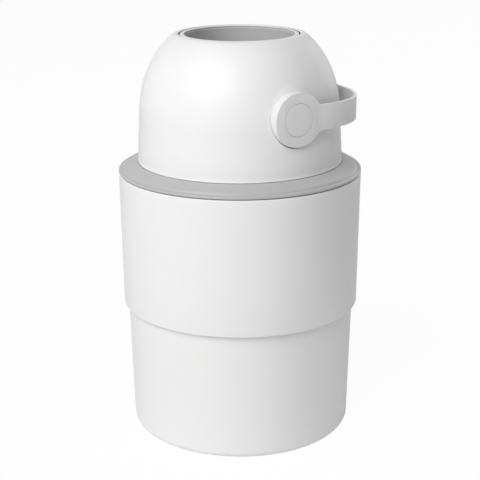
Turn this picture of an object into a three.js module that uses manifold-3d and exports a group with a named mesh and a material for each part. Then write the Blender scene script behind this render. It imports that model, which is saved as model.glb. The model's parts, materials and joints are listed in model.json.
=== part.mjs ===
// A round nappy bin with a turning drum. The container is a bucket and a sleeve that snaps
// over its rim. The head lifts off: a grey collar, a dome and a cradle below it hold a drum on
// two side shafts. The handle turns the drum half a turn, so that the cup's mouth faces down,
// and a weighted piston slides through the drum and pushes the nappy into the bag.
// Millimetres, +Z up. The origin is the centre of the base, on the floor. The drum turns about
// the line through pivotHeight that runs along Y, and at rest the handle's loop lies at +X.
import * as THREE from 'three';
import { mergeVertices } from 'three/addons/utils/BufferGeometryUtils.js';
import Module from 'manifold-3d';

const wasm = await Module();
wasm.setup();

// Clearances between the pieces
const seatGap = 0.3;
const fitGap = 0.4;
const pocketGap = 0.6;
const runningGap = 0.4;
const overrun = 1;

// Container: the sleeve, whose rim is the widest place of the bin
const sleeveTopRadius = 130;
const sleeveDraft = 1.8;
const sleeveFootHeight = 140.9;
const sleeveHeight = 146.4;
const sleeveWall = 2.6;
const sleeveLip = 2.6;
const sleeveRimWidth = 4.5;
const sleeveRimDepth = 5;
const sleeveEdge = 1.2;
const ledgeThickness = 2.5;
const ledgeOverlap = 1;

// Container: the bucket, drawn in from the sleeve
const bucketInset = 6;
const bucketDraft = 4.2;
const bucketRise = 23.3;
const bucketWall = 2.6;
const bucketFloor = 3;
const bucketCorner = 8.6;
const snapBeadDepth = 1.4;
const snapBeadHeight = 3;

// Head: the grey collar on the sleeve's rim
const collarGap = 0.6;
const collarRise = 9.9;
const collarWidth = 20.25;
const collarLip = 1.5;
const collarLipWidth = 1.4;
const collarEdge = 1.2;
const collarWall = 2.4;
const collarStep = 1.5;
const collarLedgeWidth = 13.75;
const collarLedge = 2.7;
const skirtThickness = 2.2;
const skirtClearance = 0.5;
const skirtDepth = 13;
const rimSealHeight = 1.8;

// Drum, inside the dome
const drumInset = 10.1;
const drumWall = 2.5;
const lipWidth = 4.55;
const lipThickness = 3;
const cupShare = 0.5973;
const linerStep = 1.25;
const linerWall = 2.2;
const linerSocket = 9;
const flangeWidth = 12;
const flangeThickness = 2.6;

// Head: the dome over the drum
const domeDraft = 2.4;
const domeShoulderDrop = 18.1;
const domeWall = 2.3;
const openingGap = 1.6;
const rimRise = 0.6;
const rimWidth = 4.4;
const rimClearance = 0.6;
const domePowerShare = 2.242;
const crownSpacingShare = 1.15;

// Cradle below the drum, and the soft rings
const cradleClearance = 1.6;
const cradleFlange = 2.6;
const cradleFlangeInset = 2.75;
const cradleShoulderInset = 15;
const cradleSeatWidth = 9.33;
const neckGap = 1.95;
const neckWall = 2.6;
const neckLength = 17.7;
const sealGap = 0.45;
const sealWidth = 7;
const sealHeight = 4;

// Side shafts and their bushes
const shaftRadius = 10;
const shaftSquare = 16;
const shaftLap = 0.5;
const socketWall = 6;
const socketLinerGap = 5.2;
const socketEndWall = 7;
const driveSquare = 12;
const bushWall = 2.7;
const bushFlangeWidth = 2.9;
const bushFlange = 1;

// Bearing pads, sunk in the dome's sides
const padSink = 5.1;
const padThickness = 2.6;
const padRadius = 27.4;

// Handle
const strapGap = 1.6;
const strapThickness = 3;
const strapRootHeight = 26;
const strapTaper = 2;
const strapFillet = 7;
const handleBendStart = 20;
const handlePowerShare = 2.6;
const discDraft = 1;
const discRim = 1.3;
const discWeb = 2.6;
const capRadius = 16.7;
const capThickness = 1.4;
const capEdge = 0.4;
const capSeatWidth = 5.5;
const capRoomDepth = 0.2;

// End stop of the half turn
const stopPinRadius = 2;
const stopPinInset = 6.5;
const stopPinHeight = 3;

// Piston
const pistonClearance = 0.6;
const pistonHeight = 26;
const pistonLid = 3.5;
const pistonWall = 2.4;
const pistonRelief = 0.9;
const pistonBand = 3;
const weightThickness = 8;
const weightClearance = 1;

// Screws
const headScrewCount = 6;
const headScrewInset = 5.2;
const headBossRadius = 4.5;
const headBossHeight = 15;
const headBossRib = 3;
const screwRadius = 1.8;
const screwHeadRadius = 3.6;
const screwHead = 2.2;
const screwClearance = 0.3;
const drumScrewCount = 4;
const drumScrewInset = 11.5;
const drumBossRadius = 5;
const drumBossHeight = 16;
const drumScrewWeb = 4;
const hubScrewRadius = 2;
const hubScrewHeadRadius = 9;
const hubScrewHead = 2;

// Segments round each kind of turned piece
const bodySegments = 40;
const drumSegments = 32;
const discSegments = 28;
const bushSegments = 16;
const screwSegments = 6;

// Finishes
function finish(color, roughness, metalness) {
  return new THREE.MeshStandardMaterial({ color, roughness, metalness });
}

const whitePlastic = finish(0xe9e9e7, 0.42, 0);
const greyPlastic = finish(0xb2b3b3, 0.45, 0);
const cupPlastic = finish(0xa3a4a5, 0.5, 0);
const bearingPlastic = finish(0xd8d6cf, 0.4, 0);
const softSeal = finish(0x6f7173, 0.8, 0);
const steel = finish(0x9a9c9f, 0.35, 1);

// Radii that follow from the sleeve's rim inwards
const sleeveFootRadius = sleeveTopRadius - sleeveDraft;
const bucketRimRadius = sleeveTopRadius - bucketInset;
const bucketBaseRadius = bucketRimRadius - bucketDraft;
const rimInnerRadius = sleeveTopRadius - sleeveRimWidth;
const skirtRadius = rimInnerRadius - skirtClearance;
const collarInnerRadius = sleeveTopRadius - collarWidth;
const ledgeInnerRadius = collarInnerRadius - collarLedgeWidth;
const headScrewCircle = ledgeInnerRadius + headScrewInset;
const domeBaseRadius = collarInnerRadius - fitGap;
const domeShoulderRadius = domeBaseRadius - domeDraft;
const drumRadius = domeShoulderRadius - drumInset;
const drumInner = drumRadius - drumWall;
const drumScrewCircle = drumInner - drumScrewInset;
const cradleRadius = drumRadius + cradleClearance;
const sealRadius = drumRadius + sealGap;

// Heights that follow from the sleeve's rim upwards
const sleeveTopHeight = sleeveFootHeight + sleeveHeight;
const bucketHeight = sleeveFootHeight + bucketRise;
const collarBottom = sleeveTopHeight + collarGap;
const collarTopHeight = sleeveTopHeight + collarRise;
const ledgeTop = collarTopHeight - collarStep;
const ledgeBottom = ledgeTop - collarLedge;
const domeBottom = ledgeTop + seatGap;
const cradleTop = ledgeBottom - seatGap;
const cradleBottom = cradleTop - cradleFlange;

// The drum's mouth, the openings round it and the pivot, which seats the drum in its cradle
const cupRadius = drumRadius * cupShare;
const mouthRadius = cupRadius + lipWidth;
const lipHeight = Math.sqrt(drumRadius ** 2 - mouthRadius ** 2);
const openingRadius = mouthRadius + openingGap;
const neckRadius = mouthRadius + neckGap;
const pivotHeight = cradleTop + Math.sqrt(cradleRadius ** 2 - (neckRadius + cradleSeatWidth) ** 2);
const domeShoulderHeight = pivotHeight - domeShoulderDrop;
const rimRadius = openingRadius + rimWidth;
const rimHeight = pivotHeight + lipHeight + rimRise;
const rimShare = (1 - (rimRadius / domeShoulderRadius) ** domePowerShare) ** (1 / domePowerShare);
const domeCrown = (rimHeight - domeShoulderHeight) / rimShare;

// The liner and the piston in it
const linerRadius = cupRadius + linerStep;
const linerOuter = linerRadius + linerWall;
const linerSeat = linerOuter + seatGap;
const linerHalf = lipHeight - lipThickness - seatGap;
const pistonRadius = linerRadius - pistonClearance;
const pistonBottom = pivotHeight - linerHalf;

// Distances out along the pivot's line, from the drum's socket to the cap's face
const socketOuter = drumRadius - overrun;
const socketInner = linerOuter + socketLinerGap + socketEndWall;
const socketRadius = shaftSquare / 2 + socketWall;
const padFace = domeShoulderRadius - padSink;
const bushOuter = shaftRadius + runningGap + bushWall;
const bushFlangeRadius = bushOuter + bushFlangeWidth;
const bushFaceTop = padFace + seatGap + bushFlange;
const discBack = padFace + pocketGap;
const discBaseRadius = padRadius + discRim;
const discFaceRadius = discBaseRadius - discDraft;
const webInner = bushFaceTop + seatGap;
const webOuter = webInner + discWeb;
const capInner = webOuter + seatGap + hubScrewHead + seatGap + capRoomDepth;
const capSeat = capInner - seatGap;
const handleHalfWidth = capInner + capThickness;
const handleReach = domeShoulderRadius + strapGap + strapThickness;
const stopCircleRadius = padRadius - stopPinInset;
const quarterTurn = Math.PI / 2;

// A straight line of the bucket's and of the sleeve's outer wall
function bucketAt(height) {
  return bucketBaseRadius + (bucketRimRadius - bucketBaseRadius) * height / bucketHeight;
}

function sleeveAt(height) {
  const rise = (height - sleeveFootHeight) / (sleeveTopHeight - sleeveFootHeight);
  return sleeveFootRadius + (sleeveTopRadius - sleeveFootRadius) * rise;
}

// Points on a round stretch of an outline, angles in degrees from the outward direction
function arc(centreRadius, centreHeight, radius, startDegrees, endDegrees, steps) {
  const points = [];
  for (let i = 0; i <= steps; i += 1) {
    const angle = THREE.MathUtils.degToRad(startDegrees + (endDegrees - startDegrees) * i / steps);
    points.push([centreRadius + radius * Math.cos(angle), centreHeight + radius * Math.sin(angle)]);
  }
  return points;
}

// A closed three.js geometry as a solid that can be joined and cut
function solid(geometry) {
  const bare = geometry.clone();
  bare.deleteAttribute('normal');
  bare.deleteAttribute('uv');
  const merged = mergeVertices(bare);
  const corners = merged.index.array;
  const triangles = [];
  for (let i = 0; i < corners.length; i += 3) {
    const [a, b, c] = corners.subarray(i, i + 3);
    if (a !== b && b !== c && c !== a) {
      triangles.push(a, b, c);
    }
  }
  return new wasm.Manifold(new wasm.Mesh({
    numProp: 3,
    vertProperties: merged.attributes.position.array,
    triVerts: new Uint32Array(triangles),
  }));
}

// A profile of [radius, height] points, up its outer side and down its inner, turned about Z
function turned(profile, segments) {
  const points = profile.map(([radius, height]) => new THREE.Vector2(radius, height));
  const onAxis = profile[0][0] === 0 && profile[profile.length - 1][0] === 0;
  if (!onAxis) {
    points.push(points[0].clone());
  }
  return solid(new THREE.LatheGeometry(points, segments).rotateX(quarterTurn));
}

// A flat outline pushed up along Z from a given height
function raised(outline, bottom, height) {
  const shape = new THREE.Shape(outline.map(([x, y]) => new THREE.Vector2(x, y)));
  const geometry = new THREE.ExtrudeGeometry(shape, { depth: height, bevelEnabled: false });
  return solid(geometry.translate(0, 0, bottom));
}

// An upright rod between two heights, at a place on the plan
function upright(radius, bottom, top, segments, x = 0, y = 0) {
  const geometry = new THREE.CylinderGeometry(radius, radius, top - bottom, segments);
  return solid(geometry.rotateX(quarterTurn).translate(x, y, (bottom + top) / 2));
}

// A drafted disc on the pivot's line, from one distance out along Y to another, on side +1 or -1
function draftedRod(innerRadius, outerRadius, inner, outer, segments, side, x = 0) {
  const geometry = new THREE.CylinderGeometry(outerRadius, innerRadius, outer - inner, segments);
  geometry.translate(0, (inner + outer) / 2, 0);
  if (side < 0) {
    geometry.rotateX(Math.PI);
  }
  return solid(geometry.translate(x, 0, pivotHeight));
}

function rod(radius, inner, outer, segments, side, x = 0) {
  return draftedRod(radius, radius, inner, outer, segments, side, x);
}

// A square bar on the pivot's line
function sidewaysSquare(width, inner, outer, side) {
  const geometry = new THREE.BoxGeometry(width, outer - inner, width);
  return solid(geometry.translate(0, side * (inner + outer) / 2, pivotHeight));
}

function box(width, depth, height, x, y, z) {
  return solid(new THREE.BoxGeometry(width, depth, height).translate(x, y, z));
}

const bin = new THREE.Group();
bin.name = 'nappy_bin';

// A finished solid becomes a named mesh of the bin
function piece(name, shape, material) {
  const mesh = shape.getMesh();
  const geometry = new THREE.BufferGeometry();
  geometry.setAttribute('position', new THREE.BufferAttribute(mesh.vertProperties, mesh.numProp));
  geometry.setIndex(new THREE.BufferAttribute(mesh.triVerts, 1));
  const node = new THREE.Mesh(geometry, material);
  node.name = name;
  bin.add(node);
}

// Bucket: drafted wall, rounded foot and a bead just above the sleeve's lip, which holds it
function lowerBucket() {
  const beadFoot = sleeveFootHeight + sleeveLip + seatGap;
  const beadTop = beadFoot + snapBeadHeight;
  const footCentre = bucketAt(bucketCorner) - bucketCorner;
  const innerCorner = bucketCorner - bucketWall;
  const innerCentre = bucketAt(bucketFloor + innerCorner) - bucketWall - innerCorner;
  return turned([
    [0, 0],
    ...arc(footCentre, bucketCorner, bucketCorner, -90, 0, 4),
    [bucketAt(beadFoot), beadFoot],
    [bucketAt(beadFoot) + snapBeadDepth, beadFoot],
    [bucketAt(beadTop), beadTop],
    [bucketRimRadius, bucketHeight],
    [bucketRimRadius - bucketWall, bucketHeight],
    ...arc(innerCentre, bucketFloor + innerCorner, innerCorner, 0, -90, 3),
    [0, bucketFloor],
  ], bodySegments);
}

// Sleeve: its lip hooks under the bucket's bead and its ledge stands on the bucket's rim
function bodySleeve() {
  const lipTop = sleeveFootHeight + sleeveLip;
  const lipRadius = bucketAt(lipTop) + fitGap;
  const standing = bucketHeight + seatGap;
  const ledgeRadius = bucketRimRadius - bucketWall - ledgeOverlap;
  const rimBottom = sleeveTopHeight - sleeveRimDepth;
  const inside = (height) => sleeveAt(height) - sleeveWall;
  const footEdge = sleeveFootHeight + sleeveEdge;
  return turned([
    [lipRadius, sleeveFootHeight],
    ...arc(sleeveAt(footEdge) - sleeveEdge, footEdge, sleeveEdge, -90, 0, 2),
    [sleeveTopRadius, sleeveTopHeight - sleeveEdge / 2],
    [sleeveTopRadius - sleeveEdge / 2, sleeveTopHeight],
    [rimInnerRadius, sleeveTopHeight],
    [rimInnerRadius, rimBottom],
    [inside(rimBottom - sleeveRimDepth), rimBottom - sleeveRimDepth],
    [inside(standing + ledgeThickness), standing + ledgeThickness],
    [ledgeRadius, standing + ledgeThickness],
    [ledgeRadius, standing],
    [inside(standing), standing],
    [inside(lipTop), lipTop],
    [lipRadius, lipTop],
  ], bodySegments);
}

// The collar's sloping top face and the face below it
const collarLipTop = collarBottom + collarLip;
const collarSlope = (collarTopHeight - collarLipTop) / (sleeveTopRadius - collarInnerRadius);

function collarAt(radius) {
  return collarTopHeight - (radius - collarInnerRadius) * collarSlope;
}

// Screw places round the head, at equal angles
function around(count, circle, startDegrees, make) {
  for (let i = 0; i < count; i += 1) {
    const angle = THREE.MathUtils.degToRad(startDegrees + 360 * i / count);
    make(circle * Math.cos(angle), circle * Math.sin(angle), angle, i);
  }
}

function drilled(shape, count, circle, startDegrees, radius, bottom, top) {
  let result = shape;
  around(count, circle, startDegrees, (x, y) => {
    result = result.subtract(upright(radius, bottom, top, screwSegments, x, y));
  });
  return result;
}

// The holes through which the head's screws pass
function headHoles(shape, bottom, top) {
  return drilled(shape, headScrewCount, headScrewCircle, 0, screwRadius + screwClearance, bottom, top);
}

// Collar: a skirt inside the sleeve's rim, a lip over it and a ledge that carries the dome
function collarRing() {
  const skirtInner = skirtRadius - skirtThickness;
  const underside = collarWall * Math.hypot(1, collarSlope);
  const kneeRadius = collarInnerRadius + (collarTopHeight - underside - ledgeBottom) / collarSlope;
  const lipInner = sleeveTopRadius - collarLipWidth;
  const grooveTop = sleeveTopHeight + seatGap + rimSealHeight + seatGap;
  const ring = turned([
    [skirtInner, sleeveTopHeight - skirtDepth],
    [skirtRadius, sleeveTopHeight - skirtDepth],
    [skirtRadius, grooveTop],
    [lipInner, grooveTop],
    [lipInner, collarBottom],
    [sleeveTopRadius, collarBottom],
    [sleeveTopRadius, collarLipTop - collarEdge / 2],
    [sleeveTopRadius - collarEdge, collarAt(sleeveTopRadius - collarEdge)],
    [collarInnerRadius, collarTopHeight],
    [collarInnerRadius, ledgeTop],
    [ledgeInnerRadius, ledgeTop],
    [ledgeInnerRadius, ledgeBottom],
    [kneeRadius, ledgeBottom],
    [skirtInner, collarAt(skirtInner) - underside],
  ], bodySegments);
  return headHoles(ring, ledgeBottom - overrun, ledgeTop + overrun);
}

function rimSeal() {
  const inner = skirtRadius + seatGap;
  const outer = sleeveTopRadius - collarLipWidth - seatGap;
  const bottom = sleeveTopHeight + seatGap;
  return turned([
    [inner, bottom],
    [outer, bottom],
    [outer, bottom + rimSealHeight],
    [inner, bottom + rimSealHeight],
  ], bodySegments);
}

// The dome's curve above its shoulder, drawn in by an inset, at an angle from 0 to 90 degrees
function crownAt(degrees, inset) {
  const angle = THREE.MathUtils.degToRad(degrees);
  const power = 2 / domePowerShare;
  return [
    (domeShoulderRadius - inset) * Math.cos(angle) ** power,
    domeShoulderHeight + (domeCrown - inset) * Math.sin(angle) ** power,
  ];
}

// The angle at which that curve comes in to a radius
function crownAngle(radius, inset) {
  const share = radius / (domeShoulderRadius - inset);
  return THREE.MathUtils.radToDeg(Math.acos(share ** (domePowerShare / 2)));
}

// The curve from the shoulder up to the flat rim
function crown(inset, steps) {
  const share = (rimHeight - inset - domeShoulderHeight) / (domeCrown - inset);
  const last = THREE.MathUtils.radToDeg(Math.asin(share ** (domePowerShare / 2)));
  const points = [];
  for (let i = 0; i <= steps; i += 1) {
    points.push(crownAt(last * (i / steps) ** crownSpacingShare, inset));
  }
  return points;
}

function domeWallAt(height) {
  const rise = (height - collarTopHeight) / (domeShoulderHeight - collarTopHeight);
  return domeBaseRadius + (domeShoulderRadius - domeBaseRadius) * rise;
}

// Dome: a thin shell with a flat rim round its opening, which is thinned from below to clear the
// drum, two sunk bearing pads, screw bosses inside its foot and a stop pin
function domeShell() {
  const rimFoot = rimHeight - domeWall;
  const clear = drumRadius + rimClearance;
  const outer = [
    [domeWallAt(domeBottom), domeBottom],
    ...crown(0, 9),
    [openingRadius, rimHeight],
  ];
  const inner = [
    [domeWallAt(domeBottom) - domeWall, domeBottom],
    ...crown(domeWall, 9),
    [Math.sqrt(clear ** 2 - (rimFoot - pivotHeight) ** 2), rimFoot],
    [openingRadius, pivotHeight + Math.sqrt(clear ** 2 - openingRadius ** 2)],
  ];
  const filled = turned([[0, domeBottom], ...outer, [0, outer[outer.length - 1][1]]], bodySegments);
  let dome = turned([...outer, ...inner.reverse()], bodySegments);
  const pocketRadius = discBaseRadius + pocketGap;
  const pocketEnd = domeBaseRadius + overrun;
  for (const side of [-1, 1]) {
    const plateBack = padFace - padThickness;
    const rim = rod(pocketRadius + domeWall, plateBack, pocketEnd, discSegments, side);
    const pad = rod(padRadius, plateBack, padFace, discSegments, side);
    const pocket = rod(pocketRadius, padFace, pocketEnd, discSegments, side);
    const boreRadius = bushOuter + screwClearance;
    const hole = rod(boreRadius, plateBack - overrun, padFace + overrun, bushSegments, side);
    dome = dome.add(rim.intersect(filled)).add(pad).subtract(pocket).subtract(hole);
  }
  around(headScrewCount, headScrewCircle, 0, (x, y, angle) => {
    const boss = upright(headBossRadius, domeBottom, domeBottom + headBossHeight, screwSegments, x, y);
    const reach = domeWallAt(domeBottom + headBossHeight) - domeWall / 2 - headScrewCircle;
    const rib = new THREE.BoxGeometry(reach, headBossRib, headBossHeight);
    rib.translate(headScrewCircle + reach / 2, 0, domeBottom + headBossHeight / 2);
    dome = dome.add(boss).add(solid(rib.rotateZ(angle)));
  });
  dome = headHoles(dome, domeBottom - overrun, domeBottom + headBossHeight - domeWall);
  const pinRoot = padFace - padThickness / 2;
  const pinEnd = padFace + stopPinHeight;
  return dome.add(rod(stopPinRadius, pinRoot, pinEnd, screwSegments, -1, -stopCircleRadius));
}

// Cradle: a flange screwed up under the collar, a seat round the drum and a neck for the bag
function drumCradle() {
  const seatAt = (height) => Math.sqrt(cradleRadius ** 2 - (pivotHeight - height) ** 2);
  const seatFoot = pivotHeight - Math.sqrt(cradleRadius ** 2 - neckRadius ** 2);
  const neckOuter = neckRadius + neckWall;
  const cradle = turned([
    [neckRadius, seatFoot - neckLength],
    [neckOuter, seatFoot - neckLength],
    [neckOuter, seatFoot - neckWall],
    [drumRadius - cradleShoulderInset, cradleBottom],
    [collarInnerRadius - cradleFlangeInset, cradleBottom],
    [collarInnerRadius - cradleFlangeInset, cradleTop],
    [seatAt(cradleTop), cradleTop],
    [seatAt((cradleTop + seatFoot) / 2), (cradleTop + seatFoot) / 2],
    [neckRadius, seatFoot],
  ], drumSegments);
  return headHoles(cradle, cradleBottom - overrun, cradleTop + overrun);
}

// Soft ring on the cradle: its inner face follows the drum
function lowerSeal() {
  const bottom = cradleTop + seatGap;
  const faceAt = (height) => Math.sqrt(sealRadius ** 2 - (pivotHeight - height) ** 2);
  const outer = faceAt(bottom) + sealWidth;
  return turned([
    [faceAt(bottom), bottom],
    [outer, bottom],
    [outer, bottom + sealHeight / 2],
    [faceAt(bottom + sealHeight), bottom + sealHeight],
    [faceAt(bottom + sealHeight / 2), bottom + sealHeight / 2],
  ], drumSegments);
}

// Soft ring under the dome, just outside its opening
function upperSeal() {
  const inset = domeWall + 2 * seatGap;
  const last = crownAngle(openingRadius + sealWidth, inset);
  const first = crownAngle(openingRadius + 2 * sealWidth, inset);
  const outer = [first, (first + last) / 2, last].map((degrees) => crownAt(degrees, inset));
  const inner = outer.map(([radius, height]) => {
    const share = sealRadius / Math.hypot(radius, height - pivotHeight);
    return [radius * share, pivotHeight + (height - pivotHeight) * share];
  });
  return turned([...outer, ...inner.reverse()], bodySegments);
}

function headScrew(x, y) {
  const seat = cradleBottom - seatGap;
  const tip = domeBottom + headBossHeight - domeWall - overrun;
  const shank = upright(screwRadius, seat - screwHead / 2, tip, screwSegments, x, y);
  return shank.add(upright(screwHeadRadius, seat - screwHead, seat, screwSegments, x, y));
}

function drumHoles(shape, radius, bottom, top) {
  return drilled(shape, drumScrewCount, drumScrewCircle, 45, radius, bottom, top);
}

// Half of the drum, for the side of the split line that is given as +1 or -1
function drumHalf(half) {
  const split = seatGap / 2;
  const rim = drumInner - flangeWidth;
  const outerEnd = THREE.MathUtils.radToDeg(Math.asin(lipHeight / drumRadius));
  const linerTop = lipHeight - lipThickness;
  const innerRadiusAtSocket = linerSeat + drumWall;
  const innerEnd = THREE.MathUtils.radToDeg(Math.acos(innerRadiusAtSocket / drumInner));
  const outerStart = THREE.MathUtils.radToDeg(Math.asin(split / drumRadius));
  const innerStart = THREE.MathUtils.radToDeg(Math.asin((split + flangeThickness) / drumInner));
  const outerFace = arc(0, 0, drumRadius, outerStart, outerEnd, 6);
  const innerFace = arc(0, 0, drumInner, innerStart, innerEnd, 5);
  let shell = turned([
    [rim, split],
    ...outerFace,
    [cupRadius, lipHeight],
    [cupRadius, linerTop],
    [linerSeat, linerTop],
    [linerSeat, linerTop - linerSocket],
    [innerRadiusAtSocket, linerTop - linerSocket],
    ...innerFace.reverse(),
    [rim, split + flangeThickness],
  ], drumSegments);
  const ball = turned([[0, split], ...outerFace, [0, lipHeight]], drumSegments);
  around(drumScrewCount, drumScrewCircle, 45, (x, y) => {
    const bossTop = half > 0 ? drumBossHeight : lipHeight;
    const boss = upright(drumBossRadius, split, bossTop, screwSegments, x, y).intersect(ball);
    shell = shell.add(boss);
  });
  const hole = screwRadius + screwClearance;
  if (half > 0) {
    shell = drumHoles(shell, hole, split - overrun, drumBossHeight - drumWall);
  } else {
    shell = drumHoles(shell, hole, split - overrun, lipHeight);
    shell = drumHoles(shell, screwHeadRadius + screwClearance, split + drumScrewWeb, lipHeight);
  }
  if (half < 0) {
    shell = shell.rotate([180, 0, 0]);
  }
  shell = shell.translate([0, 0, pivotHeight]);
  const halfSpace = box(3 * drumRadius, 3 * drumRadius, 2 * drumRadius, 0, 0,
    pivotHeight + half * (drumRadius + split));
  for (const side of [-1, 1]) {
    const socketEnd = socketInner - socketEndWall;
    const socket = rod(socketRadius, socketEnd, socketOuter, bushSegments, side);
    const bore = sidewaysSquare(shaftSquare + 2 * screwClearance, socketInner, drumRadius + overrun, side);
    const hole = rod(hubScrewRadius + screwClearance, socketEnd - overrun, drumRadius, screwSegments, side);
    shell = shell.add(socket.intersect(halfSpace)).subtract(bore).subtract(hole);
  }
  return shell;
}

function drumScrew(x, y) {
  const seat = pivotHeight - seatGap / 2 - drumScrewWeb - seatGap;
  const tip = pivotHeight + drumBossHeight - drumWall - overrun;
  const shank = upright(screwRadius, seat - screwHead / 2, tip, screwSegments, x, y);
  return shank.add(upright(screwHeadRadius, seat - screwHead, seat, screwSegments, x, y));
}

// Liner: the grey tube of the cup, caught between the two lips of the drum
function cupLiner() {
  return turned([
    [linerRadius, pivotHeight - linerHalf],
    [linerOuter, pivotHeight - linerHalf],
    [linerOuter, pivotHeight + linerHalf],
    [linerRadius, pivotHeight + linerHalf],
  ], drumSegments);
}

// Shaft: square in the drum's socket, round in the bush and square again in the handle
function hubShaft(side) {
  const shoulder = drumRadius + runningGap;
  const round = rod(shaftRadius, shoulder, bushFaceTop, bushSegments, side);
  const inner = sidewaysSquare(shaftSquare, socketInner + seatGap, shoulder + shaftLap, side);
  const drive = sidewaysSquare(driveSquare, bushFaceTop - shaftLap, webOuter, side);
  const hole = hubScrewRadius + screwClearance;
  const bore = rod(hole, socketInner - overrun, webOuter + overrun, screwSegments, side);
  return round.add(inner).add(drive).subtract(bore);
}

// Bush: a flanged ring in the dome's bearing pad
function pivotBush(side) {
  const bore = shaftRadius + runningGap;
  const back = padFace - padThickness;
  const flange = rod(bushFlangeRadius, padFace + seatGap, bushFaceTop, bushSegments, side);
  const barrel = rod(bushOuter, back, bushFaceTop, bushSegments, side);
  const hole = rod(bore, back - overrun, bushFaceTop + overrun, bushSegments, side);
  return flange.add(barrel).subtract(hole);
}

// The strap's outer line on the plan, from its front end round to its rear end
function strapLine(inset, steps) {
  const power = 2 / handlePowerShare;
  const reach = handleReach - handleBendStart;
  const points = [];
  for (let i = 0; i <= steps; i += 1) {
    const angle = Math.PI * (i / steps - 1 / 2);
    const x = handleBendStart + (reach - inset) * Math.abs(Math.cos(angle)) ** power;
    const y = (handleHalfWidth - inset) * Math.sign(angle) * Math.abs(Math.sin(angle)) ** power;
    points.push([x, y]);
  }
  return points;
}

// The side view of one disc with the strap that leaves it, with a fillet above and below
function discAndStrap() {
  const root = strapRootHeight / 2;
  const tip = (strapRootHeight - strapTaper) / 2;
  const centreRise = root + strapFillet;
  const centreReach = Math.sqrt((discFaceRadius + strapFillet) ** 2 - centreRise ** 2);
  const turn = THREE.MathUtils.radToDeg(Math.atan2(centreRise, centreReach));
  const upper = arc(centreReach, centreRise, strapFillet, -90, turn - 180, 4);
  const disc = arc(0, 0, discFaceRadius, turn, 360 - turn, 24).slice(1, -1);
  const lower = upper.map(([x, z]) => [x, -z]).reverse();
  const end = handleReach + overrun;
  return [[end, -tip], [end, tip], ...upper, ...disc, ...lower];
}

// Handle: one moulding of two drafted discs and the flat strap that joins them round +X
function handle() {
  const back = discBack;
  const left = -discBaseRadius - overrun;
  const inside = handleHalfWidth - strapThickness;
  const plan = [
    [left, -handleHalfWidth],
    ...strapLine(0, 26),
    [left, handleHalfWidth],
    [left, inside],
    ...strapLine(strapThickness, 24).reverse(),
    [left, -inside],
  ];
  const tall = 2 * discBaseRadius + 2 * overrun;
  const band = raised(plan, pivotHeight - tall / 2, tall);
  const sideShape = new THREE.Shape(discAndStrap().map(([x, z]) => new THREE.Vector2(x, z)));
  const width = 2 * handleHalfWidth + 2 * overrun;
  const side = new THREE.ExtrudeGeometry(sideShape, { depth: width, bevelEnabled: false });
  side.rotateX(quarterTurn).translate(0, width / 2, pivotHeight);
  let shape = band.intersect(solid(side));
  for (const way of [-1, 1]) {
    shape = shape.add(draftedRod(discBaseRadius, discFaceRadius, back, handleHalfWidth, discSegments, way));
  }
  const end = handleHalfWidth + overrun;
  for (const way of [-1, 1]) {
    const flangeRoom = rod(bushFlangeRadius + screwClearance, back - overrun, webInner, bushSegments, way);
    const capRoom = rod(capRadius + screwClearance, capSeat, end, discSegments, way);
    const headRoom = rod(capRadius - capSeatWidth, webOuter, end, bushSegments, way);
    const driveRoom = sidewaysSquare(driveSquare + 2 * screwClearance, back - overrun, end, way);
    shape = shape.subtract(flangeRoom).subtract(capRoom).subtract(headRoom).subtract(driveRoom);
  }
  return shape.subtract(stopGroove());
}

// Groove in the back of the front disc, in which the dome's stop pin runs for half a turn
function stopGroove() {
  const inner = stopCircleRadius - stopPinRadius - fitGap;
  const outer = stopCircleRadius + stopPinRadius + fitGap;
  const spare = THREE.MathUtils.radToDeg((stopPinRadius + seatGap) / stopCircleRadius);
  const outline = [
    ...arc(0, 0, outer, -spare, 180 + spare, 14),
    ...arc(0, 0, inner, 180 + spare, -spare, 14),
  ];
  const floor = padFace + stopPinHeight + seatGap;
  const depth = floor - discBack + overrun;
  const shape = new THREE.Shape(outline.map(([x, z]) => new THREE.Vector2(x, z)));
  const geometry = new THREE.ExtrudeGeometry(shape, { depth, bevelEnabled: false });
  geometry.rotateX(quarterTurn).translate(0, depth - floor, pivotHeight);
  return solid(geometry);
}

// Plain round cap over the hub screw
function hubCap(side) {
  return draftedRod(capRadius, capRadius - capEdge, capInner, handleHalfWidth, discSegments, side);
}

function hubScrew(side) {
  const seat = webOuter + seatGap;
  const tip = socketInner - socketEndWall + overrun;
  const shank = rod(hubScrewRadius, tip, seat + hubScrewHead / 2, screwSegments, side);
  return shank.add(rod(hubScrewHeadRadius, seat, seat + hubScrewHead, bushSegments, side));
}

// Piston: a shell and a lid with guide bands, and a steel disc between them
const pistonShellTop = pistonBottom + pistonHeight - pistonLid - seatGap;

function pistonShell() {
  const relief = pistonRadius - pistonRelief;
  const inner = relief - pistonWall;
  return turned([
    [0, pistonBottom],
    [pistonRadius, pistonBottom],
    [pistonRadius, pistonBottom + pistonBand],
    [relief, pistonBottom + pistonBand + pistonRelief],
    [relief, pistonShellTop],
    [inner, pistonShellTop],
    [inner, pistonBottom + pistonWall],
    [0, pistonBottom + pistonWall],
  ], drumSegments);
}

function pistonCover() {
  const bottom = pistonShellTop + seatGap;
  const spigot = pistonRadius - pistonRelief - pistonWall - fitGap;
  return turned([
    [0, bottom],
    [spigot - pistonWall, bottom],
    [spigot - pistonWall, bottom - pistonBand],
    [spigot, bottom - pistonBand],
    [spigot, bottom],
    [pistonRadius, bottom],
    [pistonRadius, bottom + pistonLid],
    [0, bottom + pistonLid],
  ], drumSegments);
}

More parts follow.
